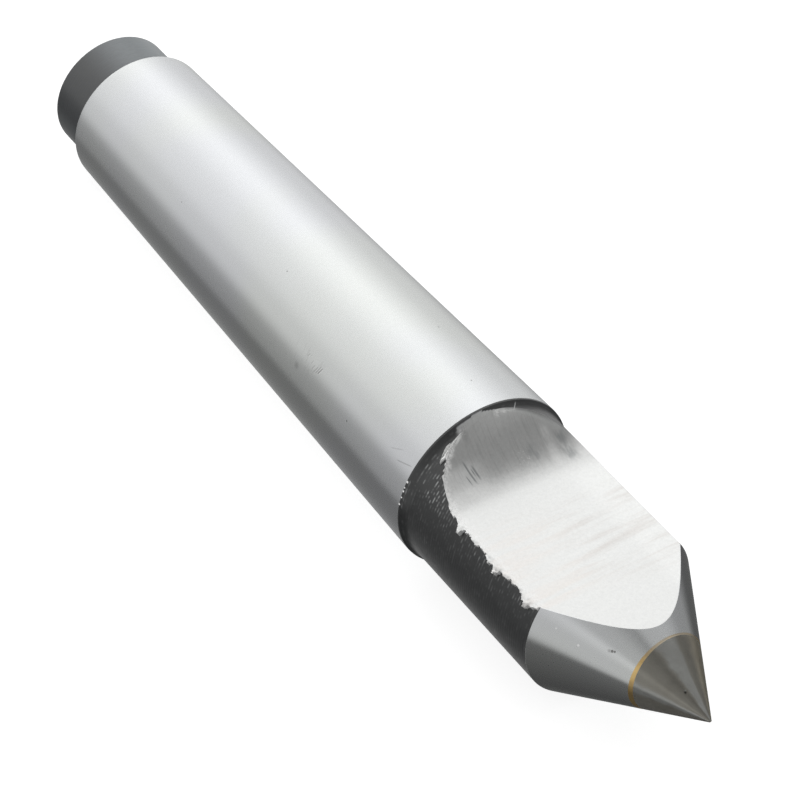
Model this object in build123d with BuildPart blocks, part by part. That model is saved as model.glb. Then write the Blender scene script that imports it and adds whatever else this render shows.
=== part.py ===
from build123d import *
import os
from math import tan, radians, sqrt

# Half-notched dead centre with a Morse taper No. 2 shank and a brazed carbide
# point.  Millimetres.  The axis lies along X and the point looks along +X.
# The origin is on the axis at the taper's gauge plane, where the taper has its
# nominal diameter.  The relief flat faces +Z.

# ---------------------------------------------------------------- dimensions
# Morse taper No. 2
gauge_d = 17.780                 # diameter at the gauge plane, x = 0
taper_rate = 1 / 20.020          # change of diameter per millimetre of length
gauge_to_large_end = 5.0         # the taper runs on this far past the gauge plane
taper_len = 63.2
large_edge_break = 0.12          # 45 degree break beyond the taper's large end
small_edge_round = 0.20          # rounded edge at the taper's small end

# Plain tail behind the taper
shank_len = 69.0                 # large end of the taper to the end of the tail
tail_d = 13.0
tail_edge = 0.25                 # 45 degree chamfer on the end of the tail
tail_root_fillet = 0.4

# Centre hole in the end of the tail, form A 3.15
hole_pilot_d = 3.15
hole_mouth_d = 6.70
hole_pilot_len = 3.2             # straight pilot beyond the countersink
hole_angle = 60.0
drill_angle = 118.0              # also the drill point of the carbide socket

# Neck and point
neck_d = 17.2
neck_end_x = 24.25               # the neck meets the ground point here
neck_root_r = 1.5                # arc from the shoulder down to the neck
point_angle = 60.0
point_flat_d = 0.24              # the very end of the point is slightly blunt

# Relief: a flat parallel to the axis, ending in the cutter's radius
relief_z = 4.6                   # height of the flat above the axis
relief_cutter_r = 8.0
relief_runout_x = 12.36          # the flat turns into the cutter's radius here
cut_margin = 4.0                 # how far the cutting solid reaches past the steel

# Brazed carbide tip
socket_d = 7.80                  # drilled socket in the steel point
socket_bottom_x = 21.0           # the socket's straight wall ends here
pin_d = 7.44                     # carbide pin; the braze fills the gap round it
pin_back_gap = 0.15              # pin's back face to the end of the straight wall
pin_back_chamfer = 0.5

select_tol = 0.01                # tolerance for picking edges by place and radius


# ------------------------------------------------------------ derived values
def taper_r(x):
    """Radius of the Morse taper at x."""
    return gauge_d / 2 + x * taper_rate / 2


def cone_len(radius, angle):
    """Axial length over which a cone of this included angle gains the radius."""
    return radius / tan(radians(angle / 2))


large_x = gauge_to_large_end
small_x = large_x - taper_len
tail_x = large_x - shank_len
large_r = taper_r(large_x)
small_r = taper_r(small_x)
tail_r = tail_d / 2
neck_r = neck_d / 2
socket_r = socket_d / 2
pin_r = pin_d / 2
point_flat_r = point_flat_d / 2

# Stations along the ground point, measured back from its sharp apex
apex_x = neck_end_x + cone_len(neck_r, point_angle)
point_end_x = apex_x - cone_len(point_flat_r, point_angle)
socket_mouth_x = apex_x - cone_len(socket_r, point_angle)
pin_mouth_x = apex_x - cone_len(pin_r, point_angle)
socket_tip_x = socket_bottom_x - cone_len(socket_r, drill_angle)
pin_back_x = socket_bottom_x + pin_back_gap

# Shoulder's broken edge, and the arc from there to the neck
shoulder_x = large_x + large_edge_break
shoulder_r = large_r - large_edge_break
root_drop = shoulder_r - neck_r
neck_root_x = shoulder_x + sqrt(2 * neck_root_r * root_drop - root_drop ** 2)

# Centre hole
mouth_r = hole_mouth_d / 2
pilot_r = hole_pilot_d / 2
sink_end_x = tail_x + cone_len(mouth_r - pilot_r, hole_angle)
pilot_end_x = sink_end_x + hole_pilot_len
pilot_tip_x = pilot_end_x + cone_len(pilot_r, drill_angle)

# Pin surface shared by the carbide and the braze, (x, radius) from back to mouth
pin_outline = [
    (pin_back_x, 0),
    (pin_back_x, pin_r - pin_back_chamfer),
    (pin_back_x + pin_back_chamfer, pin_r),
    (pin_mouth_x, pin_r),
]


# ---------------------------------------------------------------- shank body
def make_shank_body():
    """Steel tail, taper, neck and point, with centre hole, socket and relief."""
    with BuildPart() as body:
        with BuildSketch(Plane.XZ):
            with BuildLine():
                Polyline(
                    (pilot_tip_x, 0),
                    (pilot_end_x, pilot_r),
                    (sink_end_x, pilot_r),
                    (tail_x, mouth_r),
                    (tail_x, tail_r - tail_edge),
                    (tail_x + tail_edge, tail_r),
                    (small_x, tail_r),
                    (small_x, small_r),
                    (large_x, large_r),
                    (shoulder_x, shoulder_r),
                )
                RadiusArc((shoulder_x, shoulder_r), (neck_root_x, neck_r), neck_root_r)
                Polyline(
                    (neck_root_x, neck_r),
                    (neck_end_x, neck_r),
                    (socket_mouth_x, socket_r),
                    (socket_bottom_x, socket_r),
                    (socket_tip_x, 0),
                    (pilot_tip_x, 0),
                )
            make_face()
        revolve(axis=Axis.X)

        # The step at the taper's small end: its outer edge, then its root
        step_edges = body.edges().filter_by(GeomType.CIRCLE).filter_by(
            lambda e: abs(e.center().X - small_x) < select_tol
        ).sort_by(SortBy.RADIUS)
        fillet(step_edges[-1], radius=small_edge_round)
        tail_root = body.edges().filter_by(GeomType.CIRCLE).filter_by(
            lambda e: abs(e.center().X - small_x) < select_tol
            and abs(e.radius - tail_r) < select_tol
        )
        fillet(tail_root, radius=tail_root_fillet)

        # Relief, cut right across the body in Y
        cut_half_width = neck_r + cut_margin
        cut_top_z = large_r + cut_margin
        cut_end_x = apex_x + cut_margin
        arc_start_x = relief_runout_x - relief_cutter_r
        arc_start_z = relief_z + relief_cutter_r
        with BuildSketch(Plane.XZ.offset(-cut_half_width)):
            with BuildLine():
                Polyline(
                    (relief_runout_x, relief_z),
                    (cut_end_x, relief_z),
                    (cut_end_x, cut_top_z),
                    (arc_start_x, cut_top_z),
                    (arc_start_x, arc_start_z),
                )
                RadiusArc(
                    (arc_start_x, arc_start_z),
                    (relief_runout_x, relief_z),
                    -relief_cutter_r,
                )
            make_face()
        extrude(amount=2 * cut_half_width, mode=Mode.SUBTRACT)
    return body.part


# ------------------------------------------------------------ tip and braze
def make_turned(outline):
    """Solid turned about X from a closed outline of (x, radius) points."""
    with BuildPart() as turned:
        with BuildSketch(Plane.XZ):
            with BuildLine():
                Polyline(*outline)
            make_face()
        revolve(axis=Axis.X)
    return turned.part


def make_carbide_tip():
    """Ground point with a plain pin behind it that sits in the socket."""
    return make_turned([
        *pin_outline,
        (point_end_x, point_flat_r),
        (point_end_x, 0),
        (pin_back_x, 0),
    ])


def make_braze_joint():
    """Sleeve round the pin, flush with the cone, and the filler behind the pin."""
    return make_turned([
        (socket_tip_x, 0),
        (socket_bottom_x, socket_r),
        (socket_mouth_x, socket_r),
        *reversed(pin_outline),
        (socket_tip_x, 0),
    ])


# -------------------------------------------------------------------- export
pieces = {
    "shank_body": make_shank_body(),
    "carbide_tip": make_carbide_tip(),
    "braze_joint": make_braze_joint(),
}
os.makedirs("parts", exist_ok=True)
for name, piece in pieces.items():
    piece.label = name
    export_step(piece, f"parts/{name}.step")
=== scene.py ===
# Half dead centre, Morse taper No. 2, with a brazed carbide point.
# The axis lies along +X, tail at -X and point at +X. The relief flat faces +Z.
# "Near" is the -Y side, where the camera stands, and "far" the +Y side.
# Sizes are in millimetres and scaled to metres when a mesh is made.
# Angles round the axis run from +Y over the top (+Z).
import bmesh
import bpy
import functools
import math
import numpy as np
from mathutils import Matrix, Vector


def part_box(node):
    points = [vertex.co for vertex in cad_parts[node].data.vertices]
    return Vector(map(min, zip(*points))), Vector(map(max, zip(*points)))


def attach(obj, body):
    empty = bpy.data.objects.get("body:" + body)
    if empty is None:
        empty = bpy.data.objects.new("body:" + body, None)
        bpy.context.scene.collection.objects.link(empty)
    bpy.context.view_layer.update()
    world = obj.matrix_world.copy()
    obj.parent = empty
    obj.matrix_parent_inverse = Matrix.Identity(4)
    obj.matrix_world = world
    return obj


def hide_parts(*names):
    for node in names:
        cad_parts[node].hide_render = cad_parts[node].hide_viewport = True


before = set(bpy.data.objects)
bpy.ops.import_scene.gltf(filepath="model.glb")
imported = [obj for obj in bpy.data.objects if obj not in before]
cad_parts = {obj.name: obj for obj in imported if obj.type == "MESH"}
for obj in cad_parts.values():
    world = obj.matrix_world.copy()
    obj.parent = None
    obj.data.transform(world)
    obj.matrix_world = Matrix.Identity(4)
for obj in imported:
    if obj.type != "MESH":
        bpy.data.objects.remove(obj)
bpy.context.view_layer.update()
MM = 0.001
TOP = math.pi / 2

# ------------------------------------------------------------------ sizes (mm)
shank_low = np.array(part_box("shank_body")[0]) / MM
tip_low, tip_high = [np.array(v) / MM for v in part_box("carbide_tip")]
braze_low, braze_high = [np.array(v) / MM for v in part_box("braze_joint")]

TAN_30 = math.tan(math.radians(30))     # half angle of the point
GAUGE_R, TAPER_RATE = 8.89, 0.5 / 20.020    # Morse taper No. 2: radius at x = 0, and its growth
LARGE_X = 5.0                           # large end of the taper
SMALL_X = LARGE_X - 63.2
TAIL_X = shank_low[0]                   # end face of the tail
TAIL_R, TAIL_EDGE, TAIL_ROOT = 6.5, 0.25, 0.4   # radius, chamfer, fillet at the taper
SMALL_ROUND = 0.20                      # rounded corner at the taper's small end
EDGE_BREAK = 0.12                       # broken edge at the large end
NECK_R, NECK_X = 8.6, 24.25             # neck, and where the cone starts
ROOT_ROUND = 1.5                        # fillet between shoulder and neck
APEX = NECK_X + NECK_R / TAN_30
TIP_X = tip_high[0]                     # blunt end of the point
FLAT_Z = 4.6
CUT_R, CUT_X = 8.0, 12.36               # cutter radius, and where the flat turns into it
SOCKET_R = (braze_high[1] - braze_low[1]) / 2
SOCKET_X, DRILL_X = 21.0, braze_low[0]  # end of the straight wall, and of the drill point
PIN_R = (tip_high[1] - tip_low[1]) / 2
PIN_X, PIN_CHAMFER = tip_low[0], 0.5
OFFSET_ANGLE = math.radians(60)         # socket and pin sit a little off the cone's axis
SOCKET_OFFSET, PIN_OFFSET = 0.14, 0.227
TURNING_PITCH = 0.33                    # turning marks on the neck
ROW_STEP = TURNING_PITCH / 3
REAR_COLUMNS, COLUMNS, RELIEF_COLUMNS = 144, 260, 64    # tail and taper, neck and point, relief


def taper_r(x):
    return GAUGE_R + x * TAPER_RATE


def cone_r(x):
    return (APEX - x) * TAN_30


def cone_x(r):
    return APEX - r / TAN_30


LARGE_R, SMALL_R = taper_r(LARGE_X), taper_r(SMALL_X)
SHOULDER_X, SHOULDER_R = LARGE_X + EDGE_BREAK, LARGE_R - EDGE_BREAK
RISE = SHOULDER_R - NECK_R
ROOT_X = SHOULDER_X + math.sqrt(2 * ROOT_ROUND * RISE - RISE * RISE)
NOSE_X = cone_x(FLAT_Z)                 # where the relief ends on the cone

# nicks in the large end's rim: angle (deg), share of full depth, x and radius of the pale spot
NICKS = np.array([
    (154.0, 1.00, 4.90, 0.15), (158.0, 0.55, 4.88, 0.09), (160.4, 0.80, 4.88, 0.12),
    (164.6, 0.50, 4.90, 0.10), (169.6, 0.60, 4.84, 0.13),
])

# the relief's torn near edge: x, and how far it stands out over the neck in -Y
BURR = np.array([
    (5.2, 0.0), (5.75, 0.0), (5.85, 0.9), (6.0, 1.3), (6.4, 1.15), (6.7, 0.75), (6.9, 0.35),
    (7.15, 0.10), (7.4, 0.22), (7.7, 0.30), (8.0, 0.12), (8.6, 0.05), (9.9, 0.03), (10.2, 0.20),
    (11.2, 0.22), (11.4, 0.08), (11.8, 0.13), (11.95, 0.33), (12.1, 0.42), (12.35, 0.86),
    (12.5, 0.98), (12.65, 0.72), (12.8, 0.46), (13.0, 0.28), (13.12, 0.20), (13.25, 0.45),
    (13.4, 0.20), (14.0, 0.27), (14.4, 0.40), (14.8, 0.42), (15.3, 0.18), (15.8, 0.28),
    (16.2, 0.28), (16.5, 0.36), (16.7, 0.56), (17.05, 0.69), (17.3, 0.57), (17.75, 0.42),
    (17.9, 1.05), (18.1, 1.02), (18.35, 0.80), (18.55, 0.60), (18.7, 0.42), (18.95, 0.35),
    (19.1, 0.56), (19.4, 0.40), (19.6, 0.44), (19.85, 0.34), (20.0, 0.20), (20.15, 0.14),
    (20.3, 0.45), (20.5, 0.30), (20.9, 0.15), (21.2, 0.23), (21.4, 0.32), (21.8, 0.36),
    (22.1, 0.69), (22.4, 0.62), (22.55, 1.06), (22.75, 0.95), (23.0, 0.70), (23.45, 0.53),
    (23.8, 0.34), (24.1, 0.30), (24.25, 0.10),
])


# ------------------------------------------------------------------ noise
def step(start, end, value):
    """Smooth step from 0 at start to 1 at end; start may be the larger."""
    t = np.clip((np.asarray(value, float) - start) / (end - start), 0, 1)
    return t * t * (3 - 2 * t)


def noise(x, y, seed, size=251):
    """Smooth value noise, 0..1, repeating every `size` cells."""
    table = np.random.default_rng(seed).random((size, size))
    x, y = np.broadcast_arrays(np.asarray(x, float), np.asarray(y, float))
    i, j = np.floor(x).astype(int), np.floor(y).astype(int)
    f, g = x - i, y - j
    f, g = f * f * (3 - 2 * f), g * g * (3 - 2 * g)
    i0, i1, j0, j1 = i % size, (i + 1) % size, j % size, (j + 1) % size
    low = table[i0, j0] * (1 - f) + table[i1, j0] * f
    high = table[i0, j1] * (1 - f) + table[i1, j1] * f
    return low * (1 - g) + high * g


def layered_noise(x, y, seed, octaves):
    total, weight = 0, 0
    for k in range(octaves):
        finer = 2 ** k
        total = total + noise(np.asarray(x) * finer, np.asarray(y) * finer, seed + k) * 0.5 ** k
        weight += 0.5 ** k
    return total / weight


# ------------------------------------------------------------------ the body's surfaces
def cut_z(x):
    """Height of the relief at x: the flat, and the cutter's radius where it runs out."""
    inside = np.clip(CUT_X - np.asarray(x, float), 0, CUT_R)
    return FLAT_Z + CUT_R - np.sqrt(CUT_R ** 2 - inside ** 2)


def relief_z(x, y):
    """The relief's height with the deeper pass that breaks through the shoulder's rim."""
    window = step(-3.05, -2.6, y) * step(1.0, -1.6, y)
    return cut_z(np.asarray(x, float) + 0.24 * window * step(6.9, 5.3, x))


def outer_r(x):
    x = np.asarray(x, float)
    root = NECK_R + ROOT_ROUND - np.sqrt(np.maximum(ROOT_ROUND ** 2 - (ROOT_X - x) ** 2, 0))
    return np.where(x < ROOT_X, root, np.where(x < NECK_X, NECK_R, cone_r(x)))


def find_zero(height, low, high):
    """Bisection."""
    for _ in range(60):
        middle = (low + high) / 2
        if height(low) * height(middle) <= 0:
            high = middle
        else:
            low = middle
    return (low + high) / 2


# where the top of the relief meets the outside
CREST_X = find_zero(lambda x: float(cut_z(x) - outer_r(x)), SHOULDER_X, ROOT_X)


def edge_angle(x):
    """Angle from the top down to the relief's edge at x."""
    return np.arccos(np.clip(cut_z(x) / outer_r(x), -1, 1))


def column_shares():
    """Shares of the way from the relief's near edge to its far edge, closer at the edges."""
    total = 36.7                        # arc length the gaps are planned on
    arc = np.linspace(0, total, 4000)
    gap = 0.05 + 0.13 * step(2.0, 3.6, arc)
    gap = np.minimum(gap, 0.075 + 0.105 * step(0.9, 2.2, total - arc))
    steps = 0.5 * (1 / gap[1:] + 1 / gap[:-1]) * np.diff(arc)
    count = np.concatenate([[0], np.cumsum(steps)])
    return np.interp(np.linspace(0, count[-1], COLUMNS + 1), count, arc) / total


SHARE = column_shares()
PHI = TOP + 2 * math.pi * SHARE[:-1]    # columns of closed rings from the shoulder on
COS, SIN = np.cos(PHI), np.sin(PHI)
REAR_PHI = TOP + 2 * math.pi * np.arange(REAR_COLUMNS) / REAR_COLUMNS


def burr_reach(x):
    """How far the torn edge stands out at x, with a comb near the shoulder and a ragged rim."""
    station, reach = BURR.T
    reach_here = np.interp(x, station + 0.33 * np.minimum(reach, 1) * (station > 11), reach)
    comb = 0.15 + 1.0 * step(0.40, 0.60, noise(x / 0.15, 8.1, seed=47)) if x < 7.6 else 1.0
    ragged = 0.22 * (noise(x / 0.13, 5.5, seed=53) - 0.5)
    ragged = ragged * step(24.2, 23.9, x) * step(9.6, 10.4, x)
    return float(np.maximum(reach_here * comb + ragged, 0))


def offset_circle(radius, offset):
    """Distance from the axis, at each column, to a circle whose centre is off to one side."""
    angle = PHI - OFFSET_ANGLE
    return offset * np.cos(angle) + np.sqrt(radius ** 2 - (offset * np.sin(angle)) ** 2)


def offset_centre(offset):
    return offset * math.cos(OFFSET_ANGLE), offset * math.sin(OFFSET_ANGLE)


SOCKET_WALL = offset_circle(SOCKET_R, SOCKET_OFFSET)
SOCKET_Y, SOCKET_Z = offset_centre(SOCKET_OFFSET)
PIN_WALL = offset_circle(PIN_R, PIN_OFFSET)
PIN_Y, PIN_Z = offset_centre(PIN_OFFSET)

# mask channels: R black oxide, which also lays painted shade along the relief's far edge, G milled
# or torn bare metal, B worn oxide, A oxide before milling
BARE, OXIDE, HOLE, CHAMFER = (0, 0, 0, 0), (1, 0, 0, 1), (1, 0, 0.35, 1), (1, 0, 0.6, 1)


def oxide_mask(mill, worn):
    return np.c_[np.clip(1 - mill, 0, 1), mill, worn, np.ones(len(mill))]


class Surface:
    """Vertices and faces gathered row by row; `last` is the ring the next one joins."""

    def __init__(self):
        self.points, self.masks, self.faces, self.count = [], [], [], 0
        self.last = None

    def add(self, x, y, z, mask=BARE):
        x, y, z = np.broadcast_arrays(*[np.asarray(v, float) for v in (x, y, z)])
        points = np.c_[np.atleast_1d(x), np.atleast_1d(y), np.atleast_1d(z)]
        self.points.append(points)
        self.masks.append(np.broadcast_to(np.asarray(mask, float), (len(points), 4)))
        ids = np.arange(self.count, self.count + len(points))
        self.count += len(points)
        return ids

    def strip(self, a, b, closed=True):
        """Joins two rows with equal columns; a single vertex in a makes a fan."""
        if len(a) == 1:
            self.fan(a[0], b, closed)
            return
        n = len(a)
        for j in range(n if closed else n - 1):
            k = (j + 1) % n
            self.faces.append((a[j], a[k], b[k], b[j]))

    def fan(self, centre, row, closed=True):
        n = len(row)
        for j in range(n if closed else n - 1):
            self.faces.append((centre, row[j], row[(j + 1) % n]))

    def ring(self, x, y, z, mask=BARE):
        """Adds a closed ring and joins it to the last one."""
        ids = self.add(x, y, z, mask)
        if self.last is not None:
            self.strip(self.last, ids)
        self.last = ids
        return ids

    def cap(self, x, y, z):
        """Closes the last ring with a fan to one vertex."""
        self.fan(self.add(x, y, z)[0], self.last)

    def zip_rings(self, a, angle_a, b, angle_b):
        """Joins closed rings whose columns differ; the angles rise from the same start."""
        i = j = 0
        na, nb = len(a), len(b)
        angle_a = np.append(angle_a, angle_a[0] + 2 * math.pi)
        angle_b = np.append(angle_b, angle_b[0] + 2 * math.pi)
        while i < na or j < nb:
            if j >= nb or (i < na and angle_a[i + 1] <= angle_b[j + 1]):
                self.faces.append((a[i % na], a[(i + 1) % na], b[j % nb]))
                i += 1
            else:
                self.faces.append((a[i % na], b[(j + 1) % nb], b[j % nb]))
                j += 1

    def object(self, name, sharp=30):
        """Makes the object; edges steeper than `sharp` degrees stay crisp."""
        points = np.concatenate(self.points) * MM
        masks = np.concatenate(self.masks)
        faces = [tuple(int(i) for i in face) for face in self.faces]
        mesh = bpy.data.meshes.new(name)
        mesh.from_pydata([tuple(p) for p in points], [], faces)
        mesh.validate()
        bm = bmesh.new()
        bm.from_mesh(mesh)
        bmesh.ops.recalc_face_normals(bm, faces=bm.faces)
        bm.to_mesh(mesh)
        bm.free()
        layer = mesh.attributes.new("mask", "FLOAT_COLOR", "POINT")
        layer.data.foreach_set("color", masks.astype(np.float32).ravel())
        mesh.shade_smooth()
        mesh.set_sharp_from_angle(angle=math.radians(sharp))
        mesh.update()
        obj = bpy.data.objects.new(name, mesh)
        bpy.context.scene.collection.objects.link(obj)
        return obj


# ------------------------------------------------------------------ tail and taper: x, r, mask
PILOT_R, MOUTH_R, PILOT_LENGTH = 1.575, 3.35, 3.2
TAN_DRILL = math.tan(math.radians(59))
SINK_X = TAIL_X + (MOUTH_R - PILOT_R) / TAN_30      # bottom of the 60 degree countersink
PILOT_X = SINK_X + PILOT_LENGTH                     # end of the pilot's straight wall


def fillet(x, r, radius, start, end, count=7):
    angles = np.radians(np.linspace(start, end, count))
    return [(x + radius * math.cos(v), r + radius * math.sin(v)) for v in angles]


def centre_hole_rows():
    """From the drill point out to the mouth in the tail's end face."""
    rows = [(PILOT_X + (PILOT_R - r) / TAN_DRILL, r) for r in (0.5, 1.05, 1.5)]
    wall = [PILOT_X, PILOT_X - 0.08, *np.linspace(PILOT_X - 0.5, SINK_X + 0.05, 6), SINK_X]
    rows += [(x, PILOT_R) for x in wall]
    rows += [(SINK_X - (r - PILOT_R) / TAN_30, r) for r in (1.62, 1.9, 2.3, 2.7, 3.1, 3.29)]
    rows += [(TAIL_X + 0.035, 3.335), (TAIL_X + 0.004, 3.39)]
    return [(x, r, HOLE) for x, r in rows]


def tail_rows():
    """End face with slight rings, chamfer, turned tail and the fillet at its root."""
    face = np.linspace(3.5, TAIL_R - TAIL_EDGE - 0.06, 10)
    rows = [(TAIL_X + (0.004 if k % 2 else 0.0), r, OXIDE) for k, r in enumerate(face)]
    rows += [
        (TAIL_X + 0.006, TAIL_R - TAIL_EDGE - 0.012, CHAMFER),
        (TAIL_X + 0.02, TAIL_R - TAIL_EDGE + 0.016, CHAMFER),
        (TAIL_X + TAIL_EDGE - 0.03, TAIL_R - 0.034, CHAMFER),
        (TAIL_X + TAIL_EDGE + 0.02, TAIL_R - 0.006, CHAMFER),
    ]
    depth = 0.004                       # of the turning marks
    for k, x in enumerate(np.arange(TAIL_X + TAIL_EDGE + 0.14, SMALL_X - TAIL_ROOT - 0.1, 0.11)):
        wave = depth * math.cos(2 * math.pi * k / 3)
        r = TAIL_R + wave * (0.5 + noise(REAR_PHI * 6, x * 3, seed=5)) - depth
        rows.append((x, r, OXIDE))
    root = fillet(SMALL_X - TAIL_ROOT, TAIL_R + TAIL_ROOT, TAIL_ROOT, 270, 360)
    return rows + [(x, r, OXIDE) for x, r in root]


def taper_rows():
    """Small end with its rounded corner, ground taper, and the large end's dark rim."""
    rows = [(SMALL_X, SMALL_R - SMALL_ROUND - 0.08, OXIDE)]
    corner = fillet(SMALL_X + SMALL_ROUND, SMALL_R - SMALL_ROUND, SMALL_ROUND, 180, 92)
    for k, (x, r) in enumerate(corner):
        oxide = max(0, 1 - k / 2.0)     # ground bright from the third row
        rows.append((x, r, (oxide, 0, 0.4, oxide)))
    main = np.linspace(SMALL_X + 0.8, LARGE_X - 0.35, 44)
    for x in (SMALL_X + SMALL_ROUND + 0.05, *main, LARGE_X - 0.21):
        rows.append((x, taper_r(x), BARE))
    for x, drop in ((LARGE_X - 0.17, 0.002), (LARGE_X, 0.025)):
        rows.append((x, taper_r(x) - drop, OXIDE))
    return rows


def add_tail_and_taper(surface):
    surface.ring(PILOT_X + PILOT_R / TAN_DRILL, 0, 0, HOLE)
    cos, sin = np.cos(REAR_PHI), np.sin(REAR_PHI)
    for x, r, mask in centre_hole_rows() + tail_rows() + taper_rows():
        surface.ring(x, r * cos, r * sin, mask)


# ------------------------------------------------------------------ shoulder, neck and cone
def nick_depth():
    away = np.degrees(PHI)[:, None] - NICKS[:, 0]
    return (NICKS[:, 1] * np.exp(-(away / 0.9) ** 2)).max(1)


def oxide_wear(x, phi):
    """Bright ridges beside the scoop, a paler side along the neck, and the neck's thin root."""
    deg = np.degrees(phi)
    ridge = noise(x / 0.9 + 3.1, deg / 4.0, seed=61)
    scoop = step(6.5, 7.3, x) * step(10.4, 8.6, x) * step(136, 140, deg) * step(158, 151, deg)
    side = 0.34 * step(9.0, 11, x) * step(167, 150, deg) * (deg > 140)
    root = 0.45 * step(5.3, 5.6, x) * step(6.8, 6.1, x) * step(120, 130, deg) * step(165, 150, deg)
    wear = scoop * (0.45 + 0.6 * ridge) + side * ridge + root * ridge + 0.08 * ridge
    return np.clip(wear, 0, 1)


def cut_through(x, phi, r):
    """Lowers a row to the relief where the deeper pass took it away: y, z, bare share."""
    y, z = r * np.cos(phi), r * np.sin(phi)
    low = relief_z(x, y)
    inside = (y > -3.1) & (y < 1.1) & (z > 0) & (low < z)
    smear = step(-3.35, -3.1, y) * step(-1.0, -1.6, y) * (z > 0) * float(step(5.1, 5.22, x))
    smear = smear * (0.5 + 0.5 * noise(y / 0.16, x / 0.14, seed=113))
    bare = np.maximum(inside * step(0.0, 0.012, z - low), smear)
    return y, np.where(inside, low, z), bare


def add_shoulder(surface):
    """Closed rings from the large end's rim, whose columns differ, to the relief's crest."""
    rim = surface.last
    nick = nick_depth()
    y, z, bare = cut_through(SHOULDER_X, PHI, SHOULDER_R - 0.02 * nick)
    worn = np.maximum(oxide_wear(SHOULDER_X, PHI), 0.4 * nick)
    mask = oxide_mask(np.maximum(bare, 0.25 * nick), worn)
    surface.last = surface.add(SHOULDER_X, y, z, mask)
    surface.zip_rings(rim, REAR_PHI, surface.last, PHI)
    for x in np.linspace(SHOULDER_X, CREST_X, 5)[1:]:
        y, z, bare = cut_through(x, PHI, float(outer_r(x)))
        surface.ring(x, y, z, oxide_mask(bare, oxide_wear(x, PHI)))


def open_row_stations():
    """Close together at the crest, in step with the turning marks, then along the cone."""
    crest = CREST_X + 0.45 * (np.arange(1, 9) / 8.0) ** 2
    first = math.ceil((CREST_X + 0.5) / ROW_STEP)
    last = math.floor((NECK_X - 0.03) / ROW_STEP)
    neck = np.arange(first, last) * ROW_STEP
    cone = np.linspace(NECK_X + 0.1, NOSE_X - 1.0, 26)
    nose = NOSE_X - 1.0 * (1 - np.arange(1, 9) / 8.6) ** 2
    return np.concatenate([crest, neck, [NECK_X, NECK_X + 0.03], cone, nose])


def neck_row(x, phi, base_r):
    """One row round the neck, from the near edge to the far edge: y, z, mask."""
    wave = math.cos(2 * math.pi * round(x / ROW_STEP) / 3) if x > ROOT_X else 0
    depth = 0.5 + 1.0 * noise(phi * 9, x * 1.2, seed=71)
    r = base_r + 0.0055 * (wave - 1) * depth
    near = (phi - phi[0]) * base_r      # arc length from each edge
    far = (phi[-1] - phi) * base_r
    # the burr: a thin ragged wire edge that carries the relief's surface out over the neck
    burr = burr_reach(x)
    gap = np.concatenate([[0.05], np.diff(near)])
    fin = (near - gap < burr) & (np.arange(COLUMNS + 1) > 0) & (near < 1.6)
    reach = np.minimum(near, burr)
    droop = np.radians(5 + 16 * reach + 22 * (noise(x / 0.35, reach / 0.3, seed=79) - 0.35))
    fin_y = base_r * math.cos(phi[0]) - reach * np.cos(droop)
    ripple = 0.03 * (noise(x / 0.13, reach / 0.12, seed=73) - 0.5) * step(0, 0.1, reach)
    fin_z = base_r * math.sin(phi[0]) - reach * np.sin(droop) + ripple
    # bare metal: the fin, a narrow band at the far edge, and the cut through the shoulder
    mill = fin.astype(float)
    mill[0] = 1
    far_band = step(0.10, 0.0, far - 0.03 * noise(x / 0.3, 1.1, seed=83))
    mill = np.maximum(mill, far_band * (0.2 + 0.6 * step(7.5, 9.5, x)))
    y, z = r * np.cos(phi), r * np.sin(phi)
    if x < 6.9:
        y, z, bare = cut_through(x, phi, r)
        mill = np.maximum(mill, bare)
    fin_worn = step(12.5, 11.0, x) + 0.5 * step(0.3, 0.8, reach)
    worn = np.where(fin, fin_worn, oxide_wear(x, phi)).clip(0, 1)
    return np.where(fin, fin_y, y), np.where(fin, fin_z, z), oxide_mask(mill, worn)


def relief_row(x, half):
    """One row across the relief, whose half width here is `half`: y, z, mask."""
    u = np.arange(1, RELIEF_COLUMNS) / RELIEF_COLUMNS
    y = half * (0.45 * (2 * u - 1) + 0.55 * np.sin(math.pi * (u - 0.5)))
    from_near = y + half
    level = float(cut_z(x))
    deeper = relief_z(x, y) - level
    # cutter bands and grain, lanes in the scoop, teeth along the near edge
    scoop = step(CUT_X - 0.5, CUT_X - 2.0, x)
    band = (layered_noise(x / 0.8, y / 9.0, seed=91, octaves=2) - 0.5) * (1 - scoop)
    grain = layered_noise(x / 0.35, y / 0.35, seed=95, octaves=2) - 0.5
    z = level + 0.012 * band + 0.004 * grain
    z = z + scoop * 0.006 * (noise(x / 2.5, y / 0.18, seed=97) - 0.5)
    teeth = step(0.45, 0.0, from_near) * (x < NECK_X)
    z = z + 0.05 * teeth * (noise(x / 0.14, y / 0.2, seed=101) - 0.35)
    fade = np.clip(np.minimum(from_near, half - y) / 0.05, 0, 1)
    z = level + (z - level) * fade + deeper
    # torn metal along the near edge and at the crest
    ragged = from_near + 0.6 * (noise(x / 0.22, y / 0.22, seed=107) - 0.5)
    torn = step(0.75, 0.08, ragged) * (x < NECK_X) * (1 - 0.5 * step(11.5, 13.0, x))
    torn = torn * step(-3.0, -3.5, y)
    crest = step(CREST_X + 0.50, CREST_X + 0.20, x) * step(0.3, 0.8, y) * step(3.0, 2.4, y)
    crest = crest * step(0.45, 0.75, noise(x / 0.2, y / 0.2, seed=109))
    torn = np.maximum(torn, crest)
    # painted shade along the far edge, beside the shoulder: the relief takes the oxide's dark
    # colour there
    painted_far_shade = step(1.0, 0.0, half - y) * step(8.6, 6.2, x) * (y > 1.5)
    return y, z, np.c_[painted_far_shade, 1 - 0.6 * painted_far_shade, torn, painted_far_shade]


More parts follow.
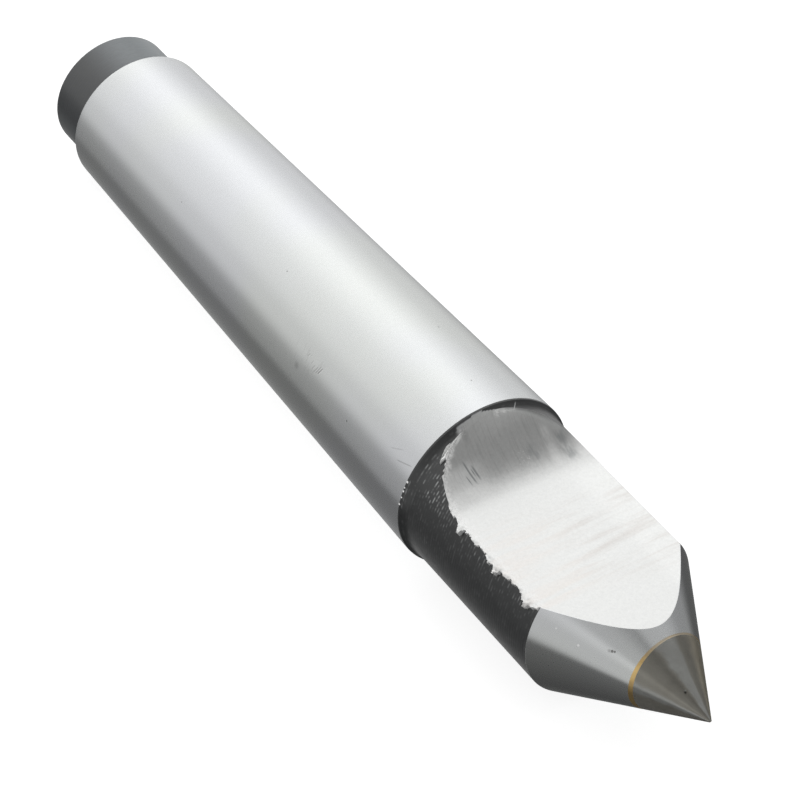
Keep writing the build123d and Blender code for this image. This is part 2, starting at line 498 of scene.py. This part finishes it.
def add_neck_and_relief(surface):
    """Open rows round the outside, and the relief between their two ends."""
    crest = surface.last
    outside, across = np.append(crest, crest[0]), crest[:1]
    for x in open_row_stations():
        down = float(edge_angle(x))
        phi = TOP + down + (2 * math.pi - 2 * down) * SHARE
        base_r = float(outer_r(x))
        if x < NECK_X - 0.01:
            y, z, mask = neck_row(x, phi, base_r)
        else:
            y, z = base_r * np.cos(phi), base_r * np.sin(phi)
            mask = OXIDE if x < NECK_X + 0.03 else BARE
        row = surface.add(x, y, z, mask)
        surface.strip(outside, row, closed=False)
        middle = surface.add(x, *relief_row(x, base_r * math.sin(down)))
        middle = np.concatenate([[row[0]], middle, [row[-1]]])
        surface.strip(across, middle, closed=False)
        outside, across = row, middle
    # the relief ends and the cone closes over the top again
    nose = surface.add(NOSE_X, FLAT_Z * COS, FLAT_Z * SIN)
    surface.strip(outside, np.append(nose, nose[0]), closed=False)
    surface.fan(nose[0], across[::-1], closed=False)
    surface.last = nose


def add_wall(surface, wall_r, stations):
    for x in stations:
        surface.ring(x, wall_r * COS, wall_r * SIN)


def add_nose_and_socket(surface):
    """Cone down to the socket's mouth, the socket's straight wall and its drill point."""
    for t in (0.12, 0.3, 0.55, 0.8, 1.0):
        r = FLAT_Z + (SOCKET_WALL - FLAT_Z) * t
        surface.ring(cone_x(r), r * COS, r * SIN)
    add_wall(surface, SOCKET_WALL, (30.5, 26.0, SOCKET_X))
    half = 0.5
    y = SOCKET_Y + (SOCKET_WALL * COS - SOCKET_Y) * half
    z = SOCKET_Z + (SOCKET_WALL * SIN - SOCKET_Z) * half
    surface.ring(SOCKET_X + (DRILL_X - SOCKET_X) * half, y, z)
    surface.cap(DRILL_X, SOCKET_Y, SOCKET_Z)


def build_body():
    surface = Surface()
    add_tail_and_taper(surface)
    add_shoulder(surface)
    add_neck_and_relief(surface)
    add_nose_and_socket(surface)
    return surface.object("shank_body_steel", sharp=24)


# ------------------------------------------------------------------ braze and carbide
def add_pin_end(surface):
    """Rear end of the pin, inside its chamfer, closed at the centre."""
    shrink = (PIN_R - PIN_CHAMFER) / PIN_R
    y = PIN_Y + (PIN_WALL * COS - PIN_Y) * shrink
    z = PIN_Z + (PIN_WALL * SIN - PIN_Z) * shrink
    surface.ring(PIN_X, y, z)
    surface.cap(PIN_X, PIN_Y, PIN_Z)


def build_braze():
    """Ring of brass on the cone, the thin sleeve behind it, and the filler behind the pin."""
    surface = Surface()
    for t in np.linspace(0, 1, 4):
        r = SOCKET_WALL + (PIN_WALL - SOCKET_WALL) * t
        uneven = 0.4 + layered_noise(PHI * 12, t, seed=7, octaves=2)
        sag = 0.010 * math.sin(math.pi * t) * uneven
        ring = surface.ring(cone_x(r) - sag * 0.5, (r - sag) * COS, (r - sag) * SIN)
        if t == 0:
            outer_edge = ring
    add_wall(surface, PIN_WALL, (30.0, 26.0, PIN_X + PIN_CHAMFER))
    add_pin_end(surface)
    surface.last = outer_edge
    add_wall(surface, SOCKET_WALL, (30.5, 26.0, SOCKET_X))
    surface.cap(DRILL_X, SOCKET_Y, SOCKET_Z)
    return surface.object("braze_ring")


def build_carbide():
    """Ground 60 degree point of carbide, very slightly blunt, on its plain pin."""
    surface = Surface()
    add_pin_end(surface)
    add_wall(surface, PIN_WALL, (PIN_X + PIN_CHAMFER, 26.0, 30.0))
    blunt_r = cone_r(TIP_X)
    end_r = blunt_r * 1.25
    for t in np.linspace(0, 1, 22):
        r = PIN_WALL + (end_r - PIN_WALL) * t
        surface.ring(cone_x(r), r * COS, r * SIN)
    end_x = cone_x(end_r)
    # share of the blunt radius, share of the way to the tip
    for share, along in ((1.02, 0.82), (0.78, 0.94), (0.45, 0.99)):
        r = blunt_r * share * (1 + 0.08 * (noise(PHI * 1.3, 3.3 + share, seed=3) - 0.5))
        surface.ring(end_x + (TIP_X - end_x) * along, r * COS, r * SIN)
    surface.cap(TIP_X, 0, 0)
    return surface.object("carbide_point")


body = build_body()
braze = build_braze()
carbide = build_carbide()


# ------------------------------------------------------------------ shader graphs
def operator(kind, swapped=False):
    def apply(self, other):
        first, second = (other, self) if swapped else (self, other)
        return self.graph.math(kind, first, second)
    return apply


class Value:
    """A node's output; arithmetic on it adds Math nodes."""

    def __init__(self, graph, socket):
        self.graph, self.socket = graph, socket

    __add__, __radd__ = operator("ADD"), operator("ADD", swapped=True)
    __sub__, __rsub__ = operator("SUBTRACT"), operator("SUBTRACT", swapped=True)
    __mul__, __rmul__ = operator("MULTIPLY"), operator("MULTIPLY", swapped=True)
    __truediv__ = operator("DIVIDE")

    def __abs__(self):
        return self.graph.math("ABSOLUTE", self)

    def rise(self, start, end, low=0.0, high=1.0):
        """Smooth step from low at start to high at end; start may be the larger."""
        inputs = {0: self, 1: start, 2: end, 3: low, 4: high}
        return self.graph.value("ShaderNodeMapRange", inputs, interpolation_type="SMOOTHSTEP")

    def window(self, a, b, c, d):
        """0 below a, 1 from b to c, 0 above d."""
        return self.rise(a, b) * self.rise(d, c)


def largest(*values):
    return functools.reduce(lambda a, b: a.graph.math("MAXIMUM", a, b), values)


class Graph:
    def __init__(self, tree):
        self.nodes, self.links = tree.nodes, tree.links
        self.nodes.clear()

    def put(self, node, key, value):
        if isinstance(value, Value):
            self.links.new(value.socket, node.inputs[key])
        else:
            node.inputs[key].default_value = value

    def new(self, kind, inputs=None, **settings):
        node = self.nodes.new(kind)
        for name, setting in settings.items():
            setattr(node, name, setting)
        for key, value in (inputs or {}).items():
            self.put(node, key, value)
        return node

    def value(self, kind, inputs=None, output=0, **settings):
        return Value(self, self.new(kind, inputs, **settings).outputs[output])

    def separate(self, kind, value):
        return [Value(self, output) for output in self.new(kind, {0: value}).outputs]

    def math(self, kind, *values, clamp=False):
        inputs = dict(enumerate(values))
        return self.value("ShaderNodeMath", inputs, operation=kind, use_clamp=clamp)

    def xyz(self, x, y, z=0.0):
        return self.value("ShaderNodeCombineXYZ", {0: x, 1: y, 2: z})

    def mix(self, share, a, b):
        """Blends two colours."""
        a, b = [(*v, 1.0) if isinstance(v, tuple) else v for v in (a, b)]
        return self.value("ShaderNodeMix", {0: share, 6: a, 7: b}, output=2, data_type="RGBA")

    def mix_number(self, share, a, b):
        return self.value("ShaderNodeMix", {0: share, 2: a, 3: b}, data_type="FLOAT")


class Coat(Graph):
    """A material's graph, with object coordinates in millimetres."""

    def __init__(self, name):
        self.material = bpy.data.materials.new(name)
        self.material.use_nodes = True
        super().__init__(self.material.node_tree)
        self.shader = self.new("ShaderNodeBsdfPrincipled")
        surface = Value(self, self.shader.outputs[0])
        self.new("ShaderNodeOutputMaterial", {0: surface})
        position = self.value("ShaderNodeTexCoord", output="Object")
        scaling = {0: position, "Scale": 1 / MM}
        self.point = self.value("ShaderNodeVectorMath", scaling, operation="SCALE")
        self.x, self.y, self.z = self.separate("ShaderNodeSeparateXYZ", self.point)
        self.around = self.math("ARCTAN2", self.y, self.z)  # radians, 0 at the top, + to +Y

    def degrees(self):
        """Angle from +Y over the top."""
        return 90.0 - self.around * (180 / math.pi)

    def noise(self, vector, scale=1.0, detail=3.0, rough=0.6, dimensions="3D"):
        inputs = {"Vector": vector, "Scale": scale, "Detail": detail, "Roughness": rough}
        return self.value("ShaderNodeTexNoise", inputs, noise_dimensions=dimensions)

    def lathe_noise(self, along, around, detail=2.0):
        """Noise unrolled along the axis and round it."""
        return self.noise(self.xyz(along, around), detail=detail, dimensions="2D")

    def multiply(self, colour, other):
        return self.value("ShaderNodeVectorMath", {0: colour, 1: other}, operation="MULTIPLY")

    def gain(self, colour, brightness):
        return self.multiply(colour, self.xyz(brightness, brightness, brightness))

    def bump(self, height, distance, normal=None):
        """Distance is in metres."""
        inputs = {"Strength": 1.0, "Distance": distance, "Height": height}
        if normal is not None:
            inputs["Normal"] = normal
        return self.value("ShaderNodeBump", inputs)

    def spot(self, x, degrees, surface_r, radius, soft=0.5):
        """1 inside a small round spot on the surface."""
        angle = math.radians(degrees)
        centre = (x, surface_r * math.cos(angle), surface_r * math.sin(angle))
        inputs = {0: self.point, 1: centre}
        away = self.value("ShaderNodeVectorMath", inputs, output="Value", operation="DISTANCE")
        return away.rise(radius, radius * (1 - soft))

    def cone_spot(self, x, degrees, radius, soft=0.5):
        return self.spot(x, degrees, cone_r(x), radius, soft)

    def line(self, x0, degrees0, x1, degrees1, width):
        """1 along a fine line between two places on the surface."""
        unroll_r = 8.9
        arc0, arc1 = [math.radians(90 - v) * unroll_r for v in (degrees0, degrees1)]
        length = math.hypot(x1 - x0, arc1 - arc0)
        unit_x, unit_arc = (x1 - x0) / length, (arc1 - arc0) / length
        dx = self.x - x0
        darc = self.around * unroll_r - arc0
        along = dx * unit_x + darc * unit_arc
        across = abs(dx * unit_arc - darc * unit_x)
        on = along.rise(0, 0.2 * length) * along.rise(length, 0.8 * length)
        return on * across.rise(width, 0.3 * width)

    def finish(self, inputs):
        """Connects the shader's inputs; its highlights are drawn out round the axis."""
        tangent = self.value("ShaderNodeTangent", direction_type="RADIAL", axis="X")
        common = {"Anisotropic Rotation": 0.25, "Tangent": tangent}
        for key, value in {**inputs, **common}.items():
            self.put(self.shader, key, value)
        return self.material


# ------------------------------------------------------------------ shank steel
# scratches on the taper: x, degrees, x, degrees, width, strength
EDGED_SCRATCHES = (     # each with a painted highlight beside it
    (-12.15, 151.5, -11.95, 147.5, 0.07, 0.30), (-11.80, 152.5, -11.45, 146.5, 0.07, 0.40),
    (-11.50, 152.0, -11.12, 144.5, 0.07, 0.45), (-11.18, 151.0, -10.88, 145.0, 0.08, 0.62),
    (-12.55, 149.5, -12.40, 146.0, 0.06, 0.25), (-13.40, 147.5, -13.22, 144.6, 0.08, 0.35),
    (-13.05, 146.0, -12.90, 144.0, 0.06, 0.22),
)
RIM_SCRATCHES = ((1.10, 147.3, 2.75, 141.8, 0.08, 0.20), (2.40, 149.9, 4.65, 145.0, 0.09, 0.30))
# dark specks on the taper: x, degrees, radius
SPECKS = (
    (-5.2, 157.5, 0.13), (-7.0, 71.0, 0.10), (-22.0, 119.8, 0.10),
    (1.2, 84.0, 0.09), (-38.5, 140.0, 0.07),
)
# scratches along the scoop: y at the start, x start, x end, half width
SCOOP_SCRATCHES = (
    (-4.03, 7.2, 9.6, 0.13), (-3.42, 7.7, 9.4, 0.14),
    (-3.62, 7.9, 9.0, 0.08), (-4.35, 8.3, 9.6, 0.08),
)


def ground_steel(coat, arc):
    """Cylindrically ground steel: streak, grain and colour."""
    streak = coat.lathe_noise(along=coat.x * 14.0, around=arc * 0.35)
    grain = coat.lathe_noise(along=coat.x * 3.2, around=arc * 2.2, detail=3.0)
    cloud = coat.noise(coat.point, scale=0.11, detail=2.0, rough=0.5)
    tint = coat.noise(coat.point, scale=0.07, detail=1.0, rough=0.5)
    brightness = 0.93 + (streak * 0.05 + (grain * 0.05 + cloud * 0.05))
    colour = coat.mix(tint.rise(0.35, 0.65), (0.705, 0.722, 0.707), (0.700, 0.712, 0.728))
    return streak, grain, coat.gain(colour, brightness)


def marked_steel(coat, arc, degrees, steel):
    """Adds scuffs, scratches with painted highlights beside some of them, and specks on the taper
    and pits on the point: marks, colour.
    """
    dark = [coat.line(*place, width) * strength
            for *place, width, strength in EDGED_SCRATCHES + RIM_SCRATCHES]
    painted_scratch_highlights = []
    for x0, deg0, x1, deg1, width, strength in EDGED_SCRATCHES:
        # painted highlight: a bright line beside the scratch
        edge = coat.line(x0 + 0.14, deg0 - 0.6, x1 + 0.14, deg1 + 0.4, 0.8 * width)
        painted_scratch_highlights.append(edge * (0.9 * strength))
    lines = coat.lathe_noise(along=coat.x * 4.5, around=arc * 0.55)
    scuffed = coat.x.window(-17.0, -13.5, -11.5, -10.2) * degrees.window(140.5, 144.0, 152.0, 158.0)
    scuff = scuffed * lines.rise(0.55, 0.70)
    smudge = coat.spot(-14.2, 158.0, taper_r(-14.2), radius=0.5, soft=0.9)
    steel = coat.mix(largest(*painted_scratch_highlights), steel, (0.95, 0.95, 0.95))
    specks = [coat.spot(x, deg, taper_r(x), radius) * 0.6 for x, deg, radius in SPECKS]
    pit = largest(
        coat.cone_spot(30.34, 143.7, radius=0.16),
        coat.cone_spot(30.52, 142.6, radius=0.12),
        coat.cone_spot(30.15, 145.0, radius=0.24, soft=0.9) * 0.5,
    )
    marks = largest(*dark, scuff * 0.14, smudge * 0.30, *specks, pit * 0.85)
    steel = coat.mix(marks, steel, (0.17, 0.165, 0.16))
    fleck = largest(
        coat.cone_spot(25.99, 153.4, radius=0.10), coat.cone_spot(28.0, 156.0, radius=0.14))
    return marks, coat.mix(fleck, steel, (0.98, 0.98, 0.98))


def milled_relief(coat, mill, worn):
    """The relief's bare metal, with painted shade in the scoop and painted light and glints on it:
    mottle, fine grain, share of the scoop, colour.
    """
    x, y = coat.x, coat.y
    mottle = coat.noise(coat.point, scale=3.0, detail=4.0, rough=0.65)
    fine = coat.noise(coat.point, scale=9.0, detail=2.0)
    band = coat.noise(coat.xyz(x * 1.15, y * 0.10, 3.0), rough=0.55)
    lanes = coat.noise(coat.xyz(x * 0.35, y * 5.0))
    banded = band.rise(0.42, 0.72) * x.window(13.0, 16.5, 23.8, 26.5)
    # the scoop's wavering border
    drift = (coat.noise(coat.xyz(x * 0.25, y * 0.55, 7.0)) - 0.5) * 2.6
    scoop = (x + (drift + y * 0.04)).rise(11.8, 8.2)
    # brightness: darker bands across, lanes along the scoop, and painted shade in the scoop
    brightness = 0.61 + (mottle * 0.20 + fine * 0.12)
    brightness = brightness - banded * (y.rise(-3.5, 2.5) * 0.10)
    brightness = brightness - scoop * (lanes.rise(0.45, 0.75) * 0.10)
    torn = worn * x.rise(13.5, 11.0)
    shade_eased_by_shoulder = x.rise(7.0, 5.6) * y.rise(-3.5, 1.5)
    # painted shade: how far the scoop's colour is darkened, less where the metal is torn and by the
    # shoulder
    depth = 0.27 - (torn * 0.35 + shade_eased_by_shoulder * 0.14)
    painted_scoop_shade = coat.math("MULTIPLY", scoop, depth, clamp=True)
    # painted light on the scoop's near side: its painted shade is lifted and its colour made
    # lighter
    near = y.rise(-1.2, -4.6) * x.window(7.1, 8.2, 9.6, 10.8)
    painted_scoop_shade = painted_scoop_shade * (1.0 - near)
    brightness = brightness * ((1.0 + near * 0.10) - painted_scoop_shade)
    far_flat = y.rise(3.4, 5.2) * x.rise(11.5, 13.5)
    brightness = brightness * (1.0 + far_flat * 0.05)
    milled = coat.mix(banded, (0.930, 0.937, 0.925), (0.932, 0.908, 0.880))
    milled = coat.gain(milled, brightness)
    # dark scratches and darker patches in the scoop
    scratches = []
    for y0, x0, x1, width in SCOOP_SCRATCHES:
        away = abs((y - y0) - (x - x0) * 0.14)
        scratches.append(x.window(x0, x0 + 0.5, x1 - 0.7, x1) * away.rise(width, 0.03))
    patchy = coat.noise(coat.xyz(x * 0.9, y * 2.2, 4.0)).rise(0.30, 0.62)
    far_dark_patch = x.window(7.6, 8.6, 10.2, 11.2) * y.window(4.9, 5.4, 5.9, 6.4)
    mid_dark_patch = x.window(7.8, 8.6, 9.1, 9.8) * y.window(1.7, 2.2, 2.8, 3.4)
    dark_patch = largest(far_dark_patch, mid_dark_patch * 0.7) * patchy
    dark = largest((largest(*scratches) * mill) * 0.75, dark_patch * 0.55)
    milled = coat.mix(dark, milled, (0.26, 0.275, 0.28))
    # painted light: lighter streaks across the far side of the scoop, and small bright flecks as
    # painted glints
    slant = abs(y - (5.4 - x * 0.12))
    painted_light_streaks = largest(
        slant.rise(0.65, 0.1) * x.window(6.6, 7.8, 9.8, 11.0),
        y.rise(6.15, 6.7) * x.window(8.4, 9.2, 10.2, 11.4),
    )
    painted_light_streaks = painted_light_streaks * ((0.4 + patchy * 0.6) * 0.40)
    painted_glint_flecks = x.window(7.9, 8.4, 9.4, 10.2) * y.window(0.5, 0.9, 1.8, 2.3)
    painted_glint_flecks = painted_glint_flecks * coat.noise(coat.point, scale=6.5, detail=2.0).rise(0.60, 0.68)
    milled = coat.mix(largest(painted_light_streaks, painted_glint_flecks * 0.6), milled, (0.93, 0.93, 0.92))
    return mottle, fine, scoop, milled


def black_oxide(coat, arc, degrees, worn):
    """Oxide on tail, shoulder and neck, with painted light and shade on the tail: spots, turning,
    share of the tail, rubbed share, colour.
    """
    x = coat.x
    spots = coat.noise(coat.point, scale=2.2)
    turned = coat.lathe_noise(along=x * 7.0, around=arc * 0.5)
    # the tail: painted light over the top, a painted highlight line, painted light on the underside
    # and painted shade at the root
    tail = x.rise(-50.0, -57.0)
    painted_top_light = degrees.rise(128.0, 80.0) * degrees.rise(-88.0, 10.0)
    # painted shade at the tail's root, by the taper
    root = x.rise(-59.1, -58.4) * degrees.rise(95.0, 130.0)
    # painted highlight: a brighter line along the tail
    edge = degrees.window(46.0, 54.0, 66.0, 77.0) * 0.12
    painted_underside_light = degrees.window(168.0, 184.0, 200.0, 240.0) * 0.16
    # lit and unlit copies of the tail's oxide colour
    tail_colour = coat.mix(painted_top_light, (0.0125, 0.0152, 0.0172), (0.128, 0.149, 0.160))
    tail_colour = coat.gain(tail_colour, 1.0 + edge)
    tail_colour = coat.mix(painted_underside_light, tail_colour, (0.105, 0.116, 0.118))
    tail_colour = coat.gain(tail_colour, 1.0 - root * 0.55)
    black = coat.mix(tail, (0.0092, 0.0102, 0.0106), tail_colour)
    black = coat.gain(black, 0.6 + (spots * 0.5 + turned * 0.4))
    # worn dashes on the ridges of the turning marks, and a bright thread by the shoulder
    lane = x / TURNING_PITCH
    number = coat.math("FLOOR", lane + 0.5)
    dash = coat.lathe_noise(along=number * 5.37, around=arc * 1.7, detail=1.0)
    peak = coat.math("COSINE", lane * (2 * math.pi)).rise(-0.2, 0.8)
    rub = worn * (peak * dash.rise(0.42, 0.74))
    thread = largest(
        coat.line(5.1, 70.0, 5.95, 74.5, width=0.07), coat.spot(5.80, 74.0, 8.72, radius=0.16))
    rub = largest(rub, thread * 0.9)
    return spots, turned, tail, rub, coat.mix(rub, black, (0.50, 0.51, 0.51))


def shank_material():
    coat = Coat("shank_steel")
    mask = coat.value("ShaderNodeAttribute", output="Color", attribute_name="mask")
    oxide, mill, worn = coat.separate("ShaderNodeSeparateColor", mask)
    arc = coat.around * NECK_R
    degrees = coat.degrees()
    streak, grain, steel = ground_steel(coat, arc)
    marks, steel = marked_steel(coat, arc, degrees, steel)
    mottle, fine, scoop, milled = milled_relief(coat, mill, worn)
    spots, turned, tail, rub, black = black_oxide(coat, arc, degrees, worn)
    chip = largest(*[coat.spot(float(x), float(deg), LARGE_R, float(radius))
                     for deg, _, x, radius in NICKS])
    tear = mill * (worn * coat.noise(coat.point, scale=5.0, rough=0.7).rise(0.38, 0.56))

    # the oxide share also lays painted shade, in the oxide's dark colour, along the relief's far
    # edge
    colour = coat.mix(oxide, steel, black)
    colour = coat.mix(mill, colour, milled)
    colour = coat.mix(largest(tear, chip), colour, (0.93, 0.93, 0.92))
    metallic = 1.0 - oxide * (1.0 - rub * 0.8)
    metallic = (metallic - tear * 0.7) * (1.0 - chip * 0.85)

    rough_ground, rough_oxide = 0.245 + grain * 0.05, 0.26 + spots * 0.16
    rough_milled = coat.mix_number(scoop, 0.40 + mottle * 0.12, 0.36)
    rough = coat.mix_number(oxide, rough_ground, rough_oxide)
    stretch = coat.mix_number(oxide, 1.0, 0.6)

    # relief of the grinding, the oxide, the milling and the marks, one over the other
    normal = coat.bump(streak, distance=0.35e-6)
    normal = coat.bump(oxide * (turned * 0.6 + spots * 0.8), distance=9e-6, normal=normal)
    normal = coat.bump(mill * (mottle * 1.0 + fine * 0.45), distance=11e-6, normal=normal)
    normal = coat.bump(1.0 - marks, distance=14e-6, normal=normal)
    return coat.finish({
        "Base Color": colour,
        "Metallic": metallic,
        "Roughness": coat.mix_number(mill, rough, rough_milled),
        "Normal": normal,
        "Anisotropic": coat.mix_number(mill, stretch, 0.0),
        "IOR": coat.mix_number(tail, 1.72, 1.86),
    })


# ------------------------------------------------------------------ carbide and braze
def carbide_material():
    coat = Coat("carbide")
    streak = coat.lathe_noise(along=coat.x * 16.0, around=coat.around * 2.5)
    grain = coat.noise(coat.point, scale=6.0)
    cloud = coat.noise(coat.point, scale=0.8, detail=2.0, rough=0.5)
    brightness = 1.4 * (0.86 + (streak * 0.12 + grain * 0.16))
    colour = coat.mix(cloud.rise(0.35, 0.7), (0.330, 0.302, 0.266), (0.300, 0.272, 0.238))
    colour = coat.gain(colour, brightness)
    # a dent near the tip, the dull patch round it and a bright fleck
    dent = coat.cone_spot(36.25, 117.0, radius=0.16, soft=0.8)
    dull = coat.cone_spot(35.2, 122.0, radius=0.5, soft=1.0)
    colour = coat.mix(largest(dent, dull * 0.14), colour, (0.05, 0.045, 0.04))
    fleck = coat.cone_spot(36.15, 113.5, radius=0.09)
    colour = coat.mix(fleck * 0.6, colour, (0.75, 0.75, 0.74))
    # brown and blue-grey in broad zones with wavering borders; the zones are guessed
    zone = coat.degrees() + (cloud - 0.5) * 14.0
    blue = largest(zone.window(74.0, 84.0, 102.0, 112.0), zone.window(156.0, 166.0, 174.0, 182.0))
    tarnish = coat.mix(blue, (0.55, 0.58, 0.58), (0.75, 0.83, 0.90))
    tarnish = coat.mix(zone.rise(66.0, 40.0), tarnish, (0.9, 0.9, 0.8))
    normal = coat.bump(streak, distance=0.6e-6)
    return coat.finish({
        "Base Color": coat.multiply(colour, tarnish),
        "Metallic": 0.78,
        "Roughness": 0.19 + grain * 0.06,
        "Normal": coat.bump(grain, distance=0.7e-6, normal=normal),
        "Anisotropic": 1.0,
    })


def braze_material():
    coat = Coat("braze")
    grain = coat.noise(coat.point, scale=7.0)
    cloud = coat.noise(coat.point, scale=1.6, detail=2.0, rough=0.5)
    streak = coat.lathe_noise(along=coat.x * 14.0, around=coat.around * 3.0)
    colour = coat.mix(cloud.rise(0.3, 0.7), (0.84, 0.60, 0.26), (0.66, 0.46, 0.21))
    # paler over the top and down the far side
    pale = coat.degrees().window(20.0, 45.0, 100.0, 135.0) * (0.60 + cloud * 0.3)
    colour = coat.mix(pale, colour, (0.62, 0.58, 0.50))
    return coat.finish({
        "Base Color": coat.gain(colour, 0.85 + (grain * 0.2 + streak * 0.1)),
        "Metallic": 1.0,
        "Roughness": 0.32 + grain * 0.14,
        "Normal": coat.bump(grain, distance=2.0e-6),
        "Anisotropic": 0.6,
    })


for piece, node, material, slot in (
    (body, "shank_body", shank_material(), "tool_steel"),
    (carbide, "carbide_tip", carbide_material(), "carbide"),
    (braze, "braze_joint", braze_material(), "braze"),
):
    piece.data.materials.append(material)
    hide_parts(node)
    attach(piece, "root")


# ------------------------------------------------------------------ floor
def build_floor():
    """Large plane tilted so that the taper lies on it; reflections don't see it."""
    half = 6.0                          # metres
    clearance = 0.00003                 # metres below the large end
    mesh = bpy.data.meshes.new("floor")
    corners = [(-half, -half, 0), (half, -half, 0), (half, half, 0), (-half, half, 0)]
    mesh.from_pydata(corners, [], [(0, 1, 2, 3)])
    floor = bpy.data.objects.new("floor", mesh)
    bpy.context.scene.collection.objects.link(floor)
    place = Matrix.Translation((LARGE_X * MM, 0, -LARGE_R * MM - clearance))
    floor.matrix_world = place @ Matrix.Rotation(math.atan(TAPER_RATE), 4, "Y")
    material = bpy.data.materials.new("floor")
    material.use_nodes = True
    inputs = material.node_tree.nodes["Principled BSDF"].inputs
    inputs["Base Color"].default_value = (0.5, 0.5, 0.5, 1)
    inputs["Roughness"].default_value = 0.9
    inputs["Specular IOR Level"].default_value = 0.0
    inputs["Emission Color"].default_value = (1, 1, 1, 1)
    inputs["Emission Strength"].default_value = 0.82
    mesh.materials.append(material)
    floor.visible_glossy = False


build_floor()

# ------------------------------------------------------------------ studio light: a soft grey tent
# brightness round the axis: degrees from +Y over the top, brightness
TENT_STRENGTH = 2.0
TENT_TAIL = [       # towards -X
    (-180, 0.8), (-170, 0.4), (-145, 0.2), (-105, 0.25), (-80, 0.55), (-35, 0.65),
    (-10, 1.1), (15, 1.0), (60, 1.6), (95, 1.3), (140, 1.05), (155, 0.9),
]
TENT_SIDES = [      # between the two ends
    (-180, 0.6), (-155, 0.65), (-148, 0.15), (-90, 0.07), (-20, 0.12), (-3, 0.35),
    (24, 0.3), (48, 0.45), (95, 0.45), (108, 0.25), (135, 0.4), (155, 0.45), (167, 0.75),
]
TENT_POINT = [      # towards +X
    (-180, 0.8), (-110, 0.3), (-25, 0.75), (0, 0.85), (24, 0.3), (46, 0.5),
    (95, 0.45), (108, 0.3), (135, 0.55), (160, 0.7),
]


def tent_ramp(graph, stops, turn):
    """Colour ramp through the stops, closed at 180 degrees with the first brightness."""
    node = graph.new("ShaderNodeValToRGB", {0: turn})
    ramp = node.color_ramp
    ramp.interpolation = "LINEAR"
    while len(ramp.elements) > 1:
        ramp.elements.remove(ramp.elements[-1])
    ramp.elements[0].position = 0.0
    for i, (degrees, brightness) in enumerate([*stops, (180, stops[0][1])]):
        element = ramp.elements[0] if i == 0 else ramp.elements.new((degrees + 180) / 360)
        level = brightness / TENT_STRENGTH
        element.color = (level, level, level, 1)
    return Value(graph, node.outputs[0])


def build_world():
    world = bpy.data.worlds.new("studio")
    bpy.context.scene.world = world
    world.use_nodes = True
    graph = Graph(world.node_tree)
    direction = graph.value("ShaderNodeTexCoord", output="Generated")
    x, y, z = graph.separate("ShaderNodeSeparateXYZ", direction)
    turn = graph.math("ARCTAN2", z, y) * (1 / (2 * math.pi)) + 0.5
    # the tail end's light reaches further forward overhead
    up = graph.math("MULTIPLY", z, 1 / 0.6, clamp=True)
    tail_stop = -0.35 + up * 0.45
    tail_full = -0.58 + up * 0.06
    tail_share = x.rise(tail_full, tail_stop, low=1.0, high=0.0)
    sides, point, tail = [
        tent_ramp(graph, stops, turn) for stops in (TENT_SIDES, TENT_POINT, TENT_TAIL)]
    grey = graph.mix(x.rise(0.57, 0.73), sides, point)
    grey = graph.mix(tail_share, grey, tail)
    tent = graph.value("ShaderNodeBackground", {0: grey, 1: TENT_STRENGTH})
    # the camera itself sees plain white
    white = graph.value("ShaderNodeBackground", {0: (1, 1, 1, 1), 1: 1.0})
    seen = graph.value("ShaderNodeLightPath", output="Is Camera Ray")
    surface = graph.value("ShaderNodeMixShader", {0: seen, 1: tent, 2: white})
    graph.new("ShaderNodeOutputWorld", {0: surface})


build_world()


# ------------------------------------------------------------------ camera
def build_camera():
    data = bpy.data.cameras.new("camera")
    data.sensor_fit, data.sensor_width, data.lens = "HORIZONTAL", 36.0, 143.2858
    data.clip_start, data.clip_end = 0.01, 50.0
    camera = bpy.data.objects.new("camera", data)
    bpy.context.scene.collection.objects.link(camera)
    # columns: the camera's right, up and backward axes, and its place in metres
    camera.matrix_world = Matrix((
        (0.537996, -0.568105, 0.622749, 0.174207),
        (0.842855, 0.35159, -0.407406, -0.119767),
        (0.012497, 0.74407, 0.667985, 0.195654),
        (0, 0, 0, 1),
    ))
    bpy.context.scene.camera = camera


build_camera()
view = bpy.context.scene.view_settings
view.view_transform = "Standard"
view.look = "None"
view.exposure = 0.0
view.gamma = 1.0
